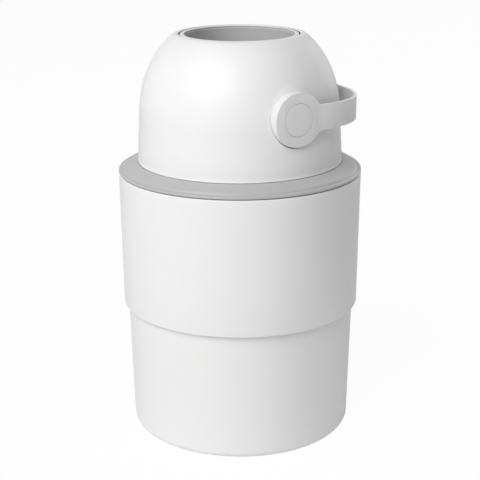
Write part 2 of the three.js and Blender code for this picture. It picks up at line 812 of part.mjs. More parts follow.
function pistonWeight() {
  const radius = pistonRadius - pistonRelief - pistonWall - weightClearance;
  const bottom = pistonBottom + pistonWall + seatGap;
  return upright(radius, bottom, bottom + weightThickness, drumSegments);
}

piece('lower_bucket', lowerBucket(), whitePlastic);
piece('body_sleeve', bodySleeve(), whitePlastic);
piece('collar_ring', collarRing(), greyPlastic);
piece('rim_seal', rimSeal(), softSeal);
piece('dome_shell', domeShell(), whitePlastic);
piece('drum_cradle', drumCradle(), greyPlastic);
piece('lower_seal', lowerSeal(), softSeal);
piece('upper_seal', upperSeal(), softSeal);
around(headScrewCount, headScrewCircle, 0, (x, y, angle, i) => {
  piece(`head_screw_${i + 1}`, headScrew(x, y), steel);
});
piece('drum_upper_shell', drumHalf(1), whitePlastic);
piece('drum_lower_shell', drumHalf(-1), whitePlastic);
piece('cup_liner', cupLiner(), cupPlastic);
around(drumScrewCount, drumScrewCircle, 45, (x, y, angle, i) => {
  piece(`drum_screw_${i + 1}`, drumScrew(x, y), steel);
});
for (const [side, word] of [[-1, 'front'], [1, 'rear']]) {
  piece(`pivot_bush_${word}`, pivotBush(side), bearingPlastic);
  piece(`hub_shaft_${word}`, hubShaft(side), bearingPlastic);
  piece(`hub_screw_${word}`, hubScrew(side), steel);
  piece(`hub_cap_${word}`, hubCap(side), whitePlastic);
}
piece('handle', handle(), whitePlastic);
piece('piston_shell', pistonShell(), cupPlastic);
piece('piston_weight', pistonWeight(), steel);
piece('piston_cover', pistonCover(), cupPlastic);

export default bin;
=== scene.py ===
import json
import math

import bpy
from mathutils import Matrix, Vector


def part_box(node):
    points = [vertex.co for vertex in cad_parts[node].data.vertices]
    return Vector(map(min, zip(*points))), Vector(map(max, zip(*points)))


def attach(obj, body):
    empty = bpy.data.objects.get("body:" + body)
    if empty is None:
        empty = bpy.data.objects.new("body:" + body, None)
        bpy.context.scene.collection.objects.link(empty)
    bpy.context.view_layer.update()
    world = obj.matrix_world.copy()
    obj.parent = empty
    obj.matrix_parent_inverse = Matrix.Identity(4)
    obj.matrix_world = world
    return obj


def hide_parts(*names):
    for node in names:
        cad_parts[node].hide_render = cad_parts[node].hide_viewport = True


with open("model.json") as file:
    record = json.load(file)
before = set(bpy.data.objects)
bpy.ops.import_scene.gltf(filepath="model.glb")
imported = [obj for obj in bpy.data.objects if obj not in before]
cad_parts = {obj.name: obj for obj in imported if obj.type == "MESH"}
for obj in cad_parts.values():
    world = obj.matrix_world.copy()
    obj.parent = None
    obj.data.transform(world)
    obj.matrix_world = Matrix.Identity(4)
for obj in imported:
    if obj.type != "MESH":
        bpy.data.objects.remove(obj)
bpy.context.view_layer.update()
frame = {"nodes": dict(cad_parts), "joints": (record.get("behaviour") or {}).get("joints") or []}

bpy.context.scene.view_settings.view_transform = "Standard"
bpy.ops.object.select_all(action="DESELECT")

# Bucket. The lower half of the container, injection moulded in white polypropylene with a
# slight draft. It has a wide foot radius, a shallow recess underneath and a bead just above
# the joint, under which the sleeve snaps. All pieces are sized in millimetres.
MM = 0.001


def frame_box(node):
    """The lowest and the highest corner of one of the frame's nodes, in millimetres to a hundredth."""
    return [[round(value / MM, 2) for value in corner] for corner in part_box(node)]


BODY_SIDES = 192
NEAR_AXIS = 0.6
FOOT_RADIUS = 119.8
FOOT_CORNER = 8.6
RECESS = 93.0
RECESS_DEPTH = 0.8
RECESS_MIDDLE = 40.0
BUCKET_HEIGHT = frame_box("lower_bucket")[1][2]
BUCKET_DRAFT = 4.2
BUCKET_WALL = 2.6
BUCKET_FLOOR = 3.0
BUCKET_CORNER = 6.0
FLOOR_MIDDLE = 60.0
SNAP_BEAD = 143.8
SNAP_BEAD_HEIGHT = 3.0


def bucket_radius(height):
    return FOOT_RADIUS + BUCKET_DRAFT * height / BUCKET_HEIGHT


def arc(centre_radius, centre_height, radius, start, end, steps):
    """Points on a round stretch of a profile, angles in degrees from the outward direction."""
    angles = [math.radians(start + (end - start) * i / steps) for i in range(steps + 1)]
    return [(centre_radius + radius * math.cos(a), centre_height + radius * math.sin(a)) for a in angles]


def near(radius, height, *steps):
    """Points of a profile round one place, each given by its step outwards and upwards from it."""
    return [(radius + out, height + up) for out, up in steps]


def wall(radius_at, depth, *heights):
    """Points of a profile on a drafted wall at some heights, at a depth behind its face."""
    return [(radius_at(height) - depth, height) for height in heights]


def finish_edit(piece):
    bpy.ops.mesh.select_all(action="SELECT")
    bpy.ops.mesh.remove_doubles(threshold=0.000001)
    bpy.ops.mesh.normals_make_consistent(inside=False)
    bpy.ops.object.mode_set(mode="OBJECT")
    piece.select_set(False)


def turn_up(name, sides, profile, ring=True):
    """A ring of edges drawn up through a profile, then closed into a ring or filled at both ends."""
    radius, height = profile[0]
    bpy.ops.mesh.primitive_circle_add(vertices=sides, radius=radius * MM, location=(0, 0, height * MM))
    piece = bpy.context.object
    piece.name = piece.data.name = name
    bpy.ops.object.transform_apply(location=True, rotation=False, scale=False)
    bpy.ops.object.mode_set(mode="EDIT")
    bpy.ops.mesh.select_mode(type="EDGE")
    bpy.ops.mesh.select_all(action="SELECT")
    for (radius, height), (next_radius, next_height) in zip(profile, profile[1:]):
        rise = (0, 0, (next_height - height) * MM)
        bpy.ops.mesh.extrude_region_move(TRANSFORM_OT_translate={"value": rise})
        spread = next_radius / radius
        bpy.ops.transform.resize(value=(spread, spread, 1), center_override=(0, 0, 0))
    bpy.ops.mesh.select_all(action="DESELECT")
    bpy.ops.mesh.select_non_manifold(use_wire=False, use_multi_face=False,
                                     use_non_contiguous=False, use_verts=False)
    if ring:
        bpy.ops.mesh.bridge_edge_loops()
    else:
        bpy.ops.mesh.fill_holes(sides=0)
    finish_edit(piece)
    return piece


def smooth(piece, degrees=28):
    piece.select_set(True)
    bpy.context.view_layer.objects.active = piece
    bpy.ops.object.shade_smooth_by_angle(angle=math.radians(degrees))
    piece.select_set(False)


def moulded_grain():
    """Shared effect: the fine grain of a moulded surface, with faint clouding of its gloss."""
    cloud_scale, fine_scale = 23.0, 160.0
    group = bpy.data.node_groups.new("moulded_grain", "ShaderNodeTree")
    for label, kind, default in (("Color", "NodeSocketColor", (0.8, 0.8, 0.8, 1)),
                                 ("Roughness", "NodeSocketFloat", 0.4),
                                 ("Gloss Clouding", "NodeSocketFloat", 0.04),
                                 ("Tone Clouding", "NodeSocketFloat", 0.02),
                                 ("Grain Scale", "NodeSocketFloat", 1400.0),
                                 ("Grain Depth", "NodeSocketFloat", 0.00001)):
        socket = group.interface.new_socket(label, in_out="INPUT", socket_type=kind)
        socket.default_value = default
    for label, kind in (("Color", "NodeSocketColor"), ("Roughness", "NodeSocketFloat"),
                        ("Normal", "NodeSocketVector")):
        group.interface.new_socket(label, in_out="OUTPUT", socket_type=kind)
    nodes, link = group.nodes, group.links.new
    enter = nodes.new("NodeGroupInput")
    leave = nodes.new("NodeGroupOutput")
    place = nodes.new("ShaderNodeTexCoord").outputs["Object"]

    def noise(scale, detail):
        node = nodes.new("ShaderNodeTexNoise")
        node.inputs["Scale"].default_value = scale
        node.inputs["Detail"].default_value = detail
        link(place, node.inputs["Vector"])
        return node

    def maths(operation, a, b):
        node = nodes.new("ShaderNodeMath")
        node.operation = operation
        for socket, value in zip(node.inputs, (a, b)):
            if isinstance(value, (int, float)):
                socket.default_value = value
            else:
                link(value, socket)
        return node.outputs[0]

    cloud = maths("SUBTRACT", noise(cloud_scale, 3.0).outputs["Fac"], 0.5)
    fine = noise(fine_scale, 2.0).outputs["Fac"]
    gloss = maths("MULTIPLY", maths("ADD", cloud, maths("MULTIPLY", maths("SUBTRACT", fine, 0.5), 0.5)),
                  enter.outputs["Gloss Clouding"])
    link(maths("ADD", enter.outputs["Roughness"], gloss), leave.inputs["Roughness"])
    tone = maths("ADD", maths("MULTIPLY", cloud, enter.outputs["Tone Clouding"]), 1.0)
    shade = nodes.new("ShaderNodeVectorMath")
    shade.operation = "SCALE"
    link(enter.outputs["Color"], shade.inputs[0])
    link(tone, shade.inputs["Scale"])
    link(shade.outputs[0], leave.inputs["Color"])
    grain = noise(1.0, 1.5)
    link(enter.outputs["Grain Scale"], grain.inputs["Scale"])
    bump = nodes.new("ShaderNodeBump")
    bump.inputs["Strength"].default_value = 1.0
    link(enter.outputs["Grain Depth"], bump.inputs["Distance"])
    link(grain.outputs["Fac"], bump.inputs["Height"])
    link(bump.outputs["Normal"], leave.inputs["Normal"])
    return group


GRAIN = moulded_grain()


def moulded(name, colour, roughness, depth, scale, tone=0.02, gloss=0.04, metal=0.0, level=0.5):
    """A moulded or machined finish, with its own colour, gloss and grain."""
    material = bpy.data.materials.new(name)
    material.use_nodes = True
    nodes, link = material.node_tree.nodes, material.node_tree.links.new
    shader = nodes["Principled BSDF"]
    grain = nodes.new("ShaderNodeGroup")
    grain.node_tree = GRAIN
    grain.inputs["Color"].default_value = (*colour, 1)
    grain.inputs["Roughness"].default_value = roughness
    grain.inputs["Gloss Clouding"].default_value = gloss
    grain.inputs["Tone Clouding"].default_value = tone
    grain.inputs["Grain Scale"].default_value = scale
    grain.inputs["Grain Depth"].default_value = depth * MM
    link(grain.outputs["Color"], shader.inputs["Base Color"])
    link(grain.outputs["Roughness"], shader.inputs["Roughness"])
    link(grain.outputs["Normal"], shader.inputs["Normal"])
    shader.inputs["Metallic"].default_value = metal
    shader.inputs["Specular IOR Level"].default_value = level
    shader.inputs["IOR"].default_value = 1.49
    return material


WHITE = moulded("white_polypropylene", (0.80, 0.80, 0.797), roughness=0.45, depth=0.012, scale=1400.0)


def dress(piece, material, slot, body, *nodes):
    """Gives a finished piece its material and the body and nodes that it stands for. The slot is not used."""
    piece.data.materials.clear()
    piece.data.materials.append(material)
    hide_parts(*nodes)
    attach(piece, body)


bucket_corner_height = BUCKET_FLOOR + BUCKET_CORNER
bucket = turn_up("bucket_moulding", BODY_SIDES, [
    (NEAR_AXIS, RECESS_DEPTH), (RECESS_MIDDLE, RECESS_DEPTH),
    *near(RECESS, 0, (0, RECESS_DEPTH), (1.0, 0.6), (1.8, 0.1), (2.6, 0)),
    *arc(bucket_radius(FOOT_CORNER) - FOOT_CORNER, FOOT_CORNER, FOOT_CORNER, -90, 0, 14),
    *wall(bucket_radius, 0, 60, 110, SNAP_BEAD),
    *near(bucket_radius(SNAP_BEAD), SNAP_BEAD, (0.9, 0.1), (1.305, 0.5), (0.741, 1.8)),
    *wall(bucket_radius, 0, SNAP_BEAD + SNAP_BEAD_HEIGHT, BUCKET_HEIGHT - 0.6),
    *near(bucket_radius(BUCKET_HEIGHT), BUCKET_HEIGHT, (-0.5, 0), (-2.1, 0), (-BUCKET_WALL, -0.5)),
    *wall(bucket_radius, BUCKET_WALL, 90, 40),
    *arc(bucket_radius(bucket_corner_height) - BUCKET_WALL - BUCKET_CORNER, bucket_corner_height,
         BUCKET_CORNER, 0, -90, 8),
    (FLOOR_MIDDLE, BUCKET_FLOOR), (NEAR_AXIS, BUCKET_FLOOR),
], ring=False)
smooth(bucket)
dress(bucket, WHITE, "white_plastic", "container", "lower_bucket")

# Sleeve. The upper half of the container, of the same white polypropylene. It snaps over the
# bucket's rim, so that its foot stands proud of the bucket all round, and its thick upper
# rim, with a softened edge, carries the head.
sleeve_low, sleeve_high = frame_box("body_sleeve")
SLEEVE_FOOT = sleeve_low[2]
SLEEVE_FOOT_EDGE = 1.3
SLEEVE_HEIGHT = sleeve_high[2] - SLEEVE_FOOT
SLEEVE_DRAFT = 1.8
SLEEVE_WALL = 2.6
SLEEVE_TOP = 286.0
SLEEVE_TOP_EDGE = 1.2
SLEEVE_RIM_BORE = 125.5
SNAP_LIP = 2.6
SNAP_LIP_BORE = 123.95
REST_BORE = 120.4
REST_TOP = 167.0


def sleeve_radius(height):
    foot_radius = sleeve_high[0] - SLEEVE_DRAFT
    return foot_radius + SLEEVE_DRAFT * (height - SLEEVE_FOOT) / SLEEVE_HEIGHT


foot_edge_height = SLEEVE_FOOT + SLEEVE_FOOT_EDGE
top_edge_height = SLEEVE_TOP - SLEEVE_TOP_EDGE
snap_lip_top = SLEEVE_FOOT + SNAP_LIP
sleeve = turn_up("sleeve_moulding", BODY_SIDES, [
    *near(SNAP_LIP_BORE, SLEEVE_FOOT, (0, 0.3), (0.35, 0)),
    *arc(sleeve_radius(foot_edge_height) - SLEEVE_FOOT_EDGE, foot_edge_height, SLEEVE_FOOT_EDGE, -90, 0, 6),
    *wall(sleeve_radius, 0, 190, 240, 278),
    *arc(sleeve_radius(top_edge_height) - SLEEVE_TOP_EDGE, top_edge_height, SLEEVE_TOP_EDGE, 0, 90, 6),
    *near(SLEEVE_RIM_BORE, SLEEVE_TOP, (0.4, 0), (0, -0.4), (0, -3.5), (1.4, -8.7)),
    *wall(sleeve_radius, SLEEVE_WALL, 200, REST_TOP),
    *near(REST_BORE, REST_TOP, (0.3, 0), (0, -0.3), (0, -2.4), (5.0, -2.5)),
    *wall(sleeve_radius, SLEEVE_WALL, snap_lip_top), (SNAP_LIP_BORE, snap_lip_top),
])
smooth(sleeve)
dress(sleeve, WHITE, "white_plastic", "container", "body_sleeve")

# Collar. The grey ring between container and head, moulded in a slightly harder, smoother
# plastic. Its top falls away from the dome to a rounded step, and a flat rim runs round it.
# A skirt centres it in the sleeve, and the dome stands on the ledge inside it.
GREY = moulded("grey_collar_plastic", (0.46, 0.46, 0.46), roughness=0.42, depth=0.006, scale=1500.0,
               gloss=0.05, level=0.35)
collar_low, collar_high = frame_box("collar_ring")
SKIRT = 125.0
SKIRT_BORE = 122.8
SKIRT_FOOT = collar_low[2]
COLLAR_UNDERSIDE = 288.5
COLLAR_RIM = collar_high[0]
COLLAR_RIM_FOOT = 286.9
COLLAR_STEP = 126.7
COLLAR_STEP_FOOT = 289.8
DOME_SEAT = 109.75
DOME_SEAT_TOP = 297.7
LEDGE_BORE = 96.0
LEDGE_FOOT = 293.0

skirt = [*near(SKIRT_BORE, SKIRT_FOOT, (0, 0.2), (0.2, 0)), *near(SKIRT, SKIRT_FOOT, (-0.2, 0), (0, 0.3)),
         (SKIRT, COLLAR_UNDERSIDE)]
flat_rim = near(COLLAR_RIM, COLLAR_RIM_FOOT, (-1.5, 1.6), (-1.4, 0.2), (-1.2, 0), (-0.5, 0), (-0.15, 0.2),
                (0, 0.6), (0, 1.5), (-0.1, 2.0), (-0.4, 2.4), (-0.9, 2.68), (-1.6, 2.8), (-2.4, 2.82))
rounded_step = near(COLLAR_STEP, COLLAR_STEP_FOOT, (0, 0), (-0.55, 0.25), (-0.85, 0.65), (-1.1, 1.2),
                    (-1.4, 1.75), (-1.9, 2.3), (-2.7, 2.8))
slope = near(DOME_SEAT, DOME_SEAT_TOP, (12.85, -4.45), (10.85, -3.6), (8.25, -2.6), (5.25, -1.55),
             (2.45, -0.65), (1.05, -0.25), (0.45, -0.05), (0.15, 0), (0, -0.2), (0, -1.8), (-0.15, -2.0))
ledge = [*near(LEDGE_BORE, LEDGE_FOOT, (0.3, 2.7), (0, 2.4), (0, 0.3), (0.3, 0), (15.5, 0)),
         (SKIRT_BORE, COLLAR_UNDERSIDE + 0.8)]
collar = turn_up("collar_moulding", BODY_SIDES, skirt + flat_rim + rounded_step + slope + ledge)
smooth(collar, degrees=35)
dress(collar, GREY, "grey_plastic", "head", "collar_ring")

# Soft rings. One seals the collar on the sleeve's rim, and two more wipe the drum under the
# dome and on the cradle. They are plain rings of matt grey elastomer and stay as modelled.
SOFT = moulded("soft_elastomer", (0.16, 0.163, 0.168), roughness=0.72, depth=0.02, scale=900.0, tone=0.05)


def recolour(material, *names):
    """Gives pieces that stay as they are in the frame a material of their own."""
    for name in names:
        slots = frame["nodes"][name].data.materials
        slots.clear()
        slots.append(material)


recolour(SOFT, "rim_seal", "lower_seal", "upper_seal")

# Cradle. The grey moulding screwed up under the collar. Its dished seat carries the drum and
# its neck holds the bag open. It is seen from below when the head is off.
CRADLE_SIDES = 128
PIVOT = round(next(joint["pos_m"][2] for joint in frame["joints"] if joint["name"] == "drum_turn") / MM, 2)
SEAT_BALL = 98.45
SEAT_DROPS = (0, 1.3, 2.7, 4.1, 5.5, 6.9, 8.1)
NECK_BORE = 64.35
NECK_FOOT = 265.8
NECK_FILLET = 4.0
CRADLE_WALL = 2.6
FLANGE = frame_box("drum_cradle")[1][0]
FLANGE_TOP = frame_box("drum_cradle")[1][2]


def seat_radius(height):
    """The radius of the dished seat, part of a ball round the pivot, at a height."""
    return math.sqrt(SEAT_BALL ** 2 - (PIVOT - height) ** 2)


seat_foot = PIVOT - math.sqrt(SEAT_BALL ** 2 - NECK_BORE ** 2)
neck = NECK_BORE + CRADLE_WALL
cradle = turn_up("cradle_moulding", CRADLE_SIDES, [
    *near(NECK_BORE, NECK_FOOT, (0, 0.3), (0.3, 0)), *near(neck, NECK_FOOT, (-0.3, 0), (0, 0.3)),
    *arc(neck + NECK_FILLET, seat_foot - CRADLE_WALL - NECK_FILLET, NECK_FILLET, 180, 100, 6),
    *near(FLANGE, FLANGE_TOP, (-25.2, -CRADLE_WALL), (-0.4, -CRADLE_WALL), (0, -2.3), (0, -0.3), (-0.3, 0)),
    *wall(seat_radius, 0, *[FLANGE_TOP - drop for drop in SEAT_DROPS]),
    (NECK_BORE, seat_foot),
])
smooth(cradle, degrees=35)
dress(cradle, GREY, "grey_plastic", "head", "drum_cradle")

# Dome. The white shell over the drum, drawn in to a round opening. Its foot has a fine bead
# over the groove that parts it from the collar. Each side has a round pocket for the handle's
# disc, backed by a thick wall inside the shell, and a low flare that leads up to it.
DOME_SIDES = 256
SPIGOT = 108.1
SPIGOT_BORE = 106.2
SPIGOT_FOOT = frame_box("dome_shell")[0][2]
DOME_BEAD = 109.55
DOME_BEAD_FOOT = 297.8
DOME_SHOULDER = 106.95
SHOULDER_HEIGHT = 339.9
CROWN_RISE = 113.77
CROWN_POWER = 2.242
DOME_WALL = 2.3
MOUTH = 64.0
MOUTH_TOP = 432.1


def crown(inset, first, last, steps):
    """The dome's curve above its shoulder, between two angles in degrees."""
    points = []
    for i in range(steps + 1):
        angle = math.radians(first + (last - first) * i / steps)
        points.append(((DOME_SHOULDER - inset) * math.cos(angle) ** (2 / CROWN_POWER),
                       SHOULDER_HEIGHT + (CROWN_RISE - inset) * math.sin(angle) ** (2 / CROWN_POWER)))
    return points


def join(piece, tool, operation):
    """Joins or cuts a piece with a tool, which is used up."""
    bpy.context.view_layer.objects.active = piece
    bpy.ops.object.modifier_add(type="BOOLEAN")
    step = piece.modifiers[-1]
    step.operation = operation
    step.solver = "EXACT"
    step.object = tool
    bpy.ops.object.modifier_apply(modifier=step.name)
    bpy.data.objects.remove(tool)


def sideways(piece, side, height=PIVOT):
    """Turns a piece drawn up along Z so that it points out along Y at a height, on side 1 or -1."""
    piece.select_set(True)
    bpy.context.view_layer.objects.active = piece
    piece.rotation_euler = (-side * math.pi / 2, 0, 0)
    piece.location = (0, 0, height * MM)
    bpy.ops.object.transform_apply(location=True, rotation=True, scale=False)
    piece.select_set(False)
    return piece


spigot = [*near(SPIGOT_BORE, SPIGOT_FOOT, (0, 0.2), (0.2, 0)),
          *near(SPIGOT, SPIGOT_FOOT, (-0.2, 0), (0, 0.2), (0, 1.8))]
foot_bead = near(DOME_BEAD, DOME_BEAD_FOOT, (-0.45, 0), (-0.15, 0.2), (0, 0.65), (-0.05, 0.95),
                 (-0.3, 1.5), (-0.55, 2.2), (-0.6, 5.2))
outside = [*near(DOME_SHOULDER, SHOULDER_HEIGHT, (1.55, -25.9), (0.85, -12.9)), *crown(0, 0.5, 50.45, 50)]
mouth_edge = near(MOUTH, MOUTH_TOP, (6.6, -1.35), (5.7, -0.85), (4.8, -0.48), (3.9, -0.23), (3.0, -0.08),
                  (2.0, -0.01), (1.0, 0), (0.5, -0.07), (0.15, -0.3), (0, -0.6), (0, -0.9), (1.3, -2.0))
inside = [*crown(DOME_WALL, 0.5, 52.3, 40)[::-1],
          *near(DOME_SHOULDER, SHOULDER_HEIGHT, (-1.45, -12.9), (-0.65, -28.9), (-0.55, -38.9))]
dome = turn_up("dome_moulding", DOME_SIDES, spigot + foot_bead + outside + mouth_edge + inside)

# Pockets in the dome. Their depths are measured outwards from the bin's middle. A thick boss
# under the skin backs each pocket. Inside it a raised pad carries the disc, the disc's own
# skirt runs in the groove round the pad, and the side shaft's bush sits in the bore.
DISC_SIDES = 128
CORE = 4.0
BOSS = 31.4
BOSS_BACK = 98.4
BOSS_FRONT = 112.0
SKIN_DEPTH = 0.9
SKIN_FOOT = 301.0
SKIN_TOP = 430.0
FLARE = 40.0
FLARE_FOOT = 95.2
FLARE_BORE = 20.0
POCKET = 28.95
POCKET_DROP = 0.1
PAD = 25.3
PAD_FACE = 101.85
GROOVE_FLOOR = 99.5
BUSH_BORE = 13.4
BORE_SIDES = 48
BORE_CORE = 1.0
BORE_BACK = 95.0
BORE_FRONT = 108.0
CLEAR_OUTSIDE = 130.0

boss_line = [(CORE, BOSS_BACK), *near(BOSS, BOSS_BACK, (-2.4, -0.2), (0, -0.5)),
             (BOSS, BOSS_FRONT), (CORE, BOSS_FRONT)]
skin_line = [(NEAR_AXIS, SKIN_FOOT), *near(DOME_SHOULDER, SHOULDER_HEIGHT, (1.05, -38.9), (0.05, -12.9)),
             *crown(SKIN_DEPTH, 0.5, 52.0, 40), (NEAR_AXIS, SKIN_TOP)]
flare_line = [(FLARE_BORE, FLARE_FOOT + 3.8),
              *near(FLARE, FLARE_FOOT, (-4.0, 0.3), (0, -1.0), (0, 0), (-2.0, 1.2), (-4.0, 2.25),
                    (-6.0, 3.3), (-7.5, 4.0), (-8.8, 4.65), (-9.8, 5.2), (-10.5, 5.65), (-11.5, 6.2)),
              (FLARE_BORE, FLARE_FOOT + 6.2)]
pocket_line = [(CORE, PAD_FACE), (PAD, PAD_FACE), (PAD, GROOVE_FLOOR), (POCKET, GROOVE_FLOOR),
               (POCKET, CLEAR_OUTSIDE), (CORE, CLEAR_OUTSIDE)]
bore_line = [(BORE_CORE, BORE_BACK), (BUSH_BORE, BORE_BACK), (BUSH_BORE, BORE_FRONT), (BORE_CORE, BORE_FRONT)]
for side in (-1, 1):
    boss = sideways(turn_up("boss", DISC_SIDES, boss_line, ring=False), side)
    join(boss, turn_up("skin", DOME_SIDES, skin_line, ring=False), "INTERSECT")
    join(dome, boss, "UNION")
    join(dome, sideways(turn_up("flare", DISC_SIDES, flare_line), side), "UNION")
    pocket = turn_up("pocket", DISC_SIDES, pocket_line, ring=False)
    join(dome, sideways(pocket, side, PIVOT - POCKET_DROP), "DIFFERENCE")
    join(dome, sideways(turn_up("bore", BORE_SIDES, bore_line, ring=False), side), "DIFFERENCE")
smooth(dome)
dress(dome, WHITE, "white_plastic", "head", "dome_shell")

# Drum. Two white half balls, screwed together at the split, that turn inside the dome. Each
# has a round mouth with a thin, rounded lip that stands in a groove, and the upper one shows
# round the cup.
BALL_SIDES = 160
BALL = frame_box("drum_upper_shell")[1][0]
BALL_WALL = 2.5
LIP_TOP = 73.5
LIP_BORE = 58.22
LIP_EDGE = 0.8
LIP = 62.4
LINER_SEAT = 61.5
LINER_SEAT_END = 62.1
SPLIT_BORE = 82.35
SPLIT_FLANGE = 2.8
HALF_SPLIT = frame_box("drum_upper_shell")[0][2] - PIVOT


def round_ball(radius, *degrees):
    """Points of a profile on a ball round the pivot, at angles above the split."""
    return [(radius * math.cos(math.radians(a)), radius * math.sin(math.radians(a))) for a in degrees]


def half_ball(name, half):
    """Half a drum, drawn up from the split and then turned over for the lower half, -1."""
    piece = turn_up(name, BALL_SIDES, [
        *round_ball(BALL, 0.1, 6, 12, 18, 24, 30, 35, 40, 43, 45.5),
        *near(LIP, LIP_TOP, (4.6, -4.6), (0.9, -5.0), (0.2, -4.7), (0, -4.1)),
        *arc(LIP - LIP_EDGE, LIP_TOP - LIP_EDGE, LIP_EDGE, 0, 90, 5),
        *near(LIP_BORE, LIP_TOP, (1.08, 0), (0.53, -0.04), (0.18, -0.14), (0, -0.3), (0.03, -0.42)),
        (LINER_SEAT, LIP_TOP - 1.4), *near(LINER_SEAT, LINER_SEAT_END, (0, 0), (2.6, 0)),
        *round_ball(BALL - BALL_WALL, 47, 44, 38, 32, 26, 20, 14, 8, 1.8),
        (SPLIT_BORE, SPLIT_FLANGE), (SPLIT_BORE, HALF_SPLIT),
    ])
    piece.select_set(True)
    bpy.context.view_layer.objects.active = piece
    piece.rotation_euler = (0 if half > 0 else math.pi, 0, 0)
    piece.location = (0, 0, PIVOT * MM)
    bpy.ops.object.transform_apply(location=True, rotation=True, scale=False)
    piece.select_set(False)
    return piece


for half, ball_name, ball_node in ((1, "drum_upper_moulding", "drum_upper_shell"),
                                   (-1, "drum_lower_moulding", "drum_lower_shell")):
    ball = half_ball(ball_name, half)
    smooth(ball)
    dress(ball, WHITE, "white_plastic", "drum", ball_node)

# Cup liner. The mid-grey tube that is caught between the drum's two lips and guides the
# piston. Its bore, smooth from a polished core, has a small step just inside each lip.
CUP = moulded("grey_cup_plastic", (0.51, 0.51, 0.51), roughness=0.42, depth=0.006, scale=1600.0, tone=0.03)
LINER = 61.2
LINER_BORE = 58.0
LINER_HALF = 73.0
LINER_STEP = 58.6

liner_end = [(LINER, LINER_HALF - 1.05), *near(LINER_STEP, LINER_HALF, (0.15, 0), (0, -0.15), (0, -1.25)),
             (LINER_BORE, LINER_HALF - 1.85)]
liner = turn_up("cup_liner_tube", BALL_SIDES, [
    *[(radius, PIVOT - height) for radius, height in liner_end[::-1]], (LINER, 340.0),
    *[(radius, PIVOT + height) for radius, height in liner_end], (LINER_BORE, 380.0), (LINER_BORE, 330.0),
])
smooth(liner)
dress(liner, CUP, "cup_plastic", "drum", "cup_liner")

# Piston. A hollow grey plunger with a steel disc inside. Guide bands at both ends run in the
# liner, and its lid and its floor have a shallow dish with a ring, which stiffens them.
GUIDE_BAND = 57.6
PISTON_FOOT = 287.25
PISTON_TOP = 313.2
BARREL = 56.8
BARREL_WALL = 1.6
BARREL_TOP = 309.4
FLOOR_CORE = 8.0
LID_CORE = 6.0
LID_PLUG = 54.8

floor = turn_up("piston_body", BALL_SIDES, [
    *near(FLOOR_CORE, PISTON_FOOT, (0, 1.55), (22.0, 1.55), (38.0, 1.15), (42.0, 0.65), (44.0, 0.15)),
    *near(GUIDE_BAND, PISTON_FOOT, (-4.1, 0), (-0.6, 0), (-0.15, 0.15), (0, 0.55), (0, 2.95), (-0.8, 3.85)),
    (BARREL, BARREL_TOP), (BARREL - BARREL_WALL, BARREL_TOP),
    *near(BARREL - BARREL_WALL, PISTON_FOOT, (0, 3.95), (-3.2, 2.55)), (FLOOR_CORE, PISTON_FOOT + 2.45),
], ring=False)
smooth(floor)
dress(floor, CUP, "cup_plastic", "piston", "piston_shell")
lid = turn_up("piston_lid", BALL_SIDES, [
    (LID_CORE, PISTON_TOP - 2.9),
    *near(LID_PLUG, PISTON_TOP, (-2.8, -3.2), (-2.4, -6.5), (0, -6.5), (0, -3.5)),
    *near(GUIDE_BAND, PISTON_TOP, (-0.2, -3.5), (0, -3.2), (0, -0.5), (-0.2, -0.15), (-0.6, 0), (-4.1, 0),
          (-5.1, -0.2), (-7.1, -1.0), (-8.6, -1.3)),
    *near(LID_CORE, PISTON_TOP, (24.0, -1.5), (0, -1.6)),
], ring=False)
smooth(lid)
dress(lid, CUP, "cup_plastic", "piston", "piston_cover")

# Bushes and shafts. Natural low-friction plastic, cut true where they run, with faint turning
# marks. They carry the drum in the dome and stay as modelled.
BEARING = moulded("bearing_plastic", (0.68, 0.67, 0.63), roughness=0.38, depth=0.008, scale=700.0, tone=0.03)
recolour(BEARING, "pivot_bush_front", "hub_shaft_front", "pivot_bush_rear", "hub_shaft_rear")

# Screws and weight. Plain zinc-plated steel: six screws under the head, four in the drum, one
# in each shaft, and the disc in the piston.
STEEL = moulded("zinc_plated_steel", (0.55, 0.56, 0.57), roughness=0.34, depth=0.004, scale=2600.0,
                tone=0.08, gloss=0.2, metal=1.0)
recolour(STEEL, *[f"head_screw_{i}" for i in range(1, 7)], *[f"drum_screw_{i}" for i in range(1, 5)],
         "hub_screw_front", "hub_screw_rear", "piston_weight")

# Handle. One white moulding: a thick disc on each side and the thin, tapering strap that
# joins them round the drum's far side. The strap leaves each disc with a fillet above and
# below, and its edges are just broken.
HANDLE_WHITE = moulded("white_handle_plastic", (0.76, 0.76, 0.757), roughness=0.42, depth=0.01, scale=1500.0)
HALF_WIDTH = frame_box("handle")[1][1]
REACH = 112.2
BEND_START = 20.0
STRAP_POWER = 2.6
STRAP = 3.0
STRAP_EDGE = 0.55
DISC_FACE = 27.7
FILLET = 5.0
ROOT_HALF = 13.0
TIP_HALF = 12.0
LEAST_HALF = 0.1
DISC_STEPS = 36
FLAT_STEPS = 12
BEND_STEPS = 60
centre_rise = ROOT_HALF + FILLET
centre_reach = math.sqrt((DISC_FACE + FILLET) ** 2 - centre_rise ** 2)
tangent_reach = centre_reach * DISC_FACE / (DISC_FACE + FILLET)


def strap_half_height(x):
    """Half the height of the handle's side view, at a distance along X from the pivot."""
    if x < tangent_reach:
        return math.sqrt(max(DISC_FACE ** 2 - x ** 2, LEAST_HALF ** 2))
    if x < centre_reach:
        return centre_rise - math.sqrt(FILLET ** 2 - (x - centre_reach) ** 2)
    share = (x - centre_reach) / (REACH - centre_reach)
    return ROOT_HALF + (TIP_HALF - ROOT_HALF) * share


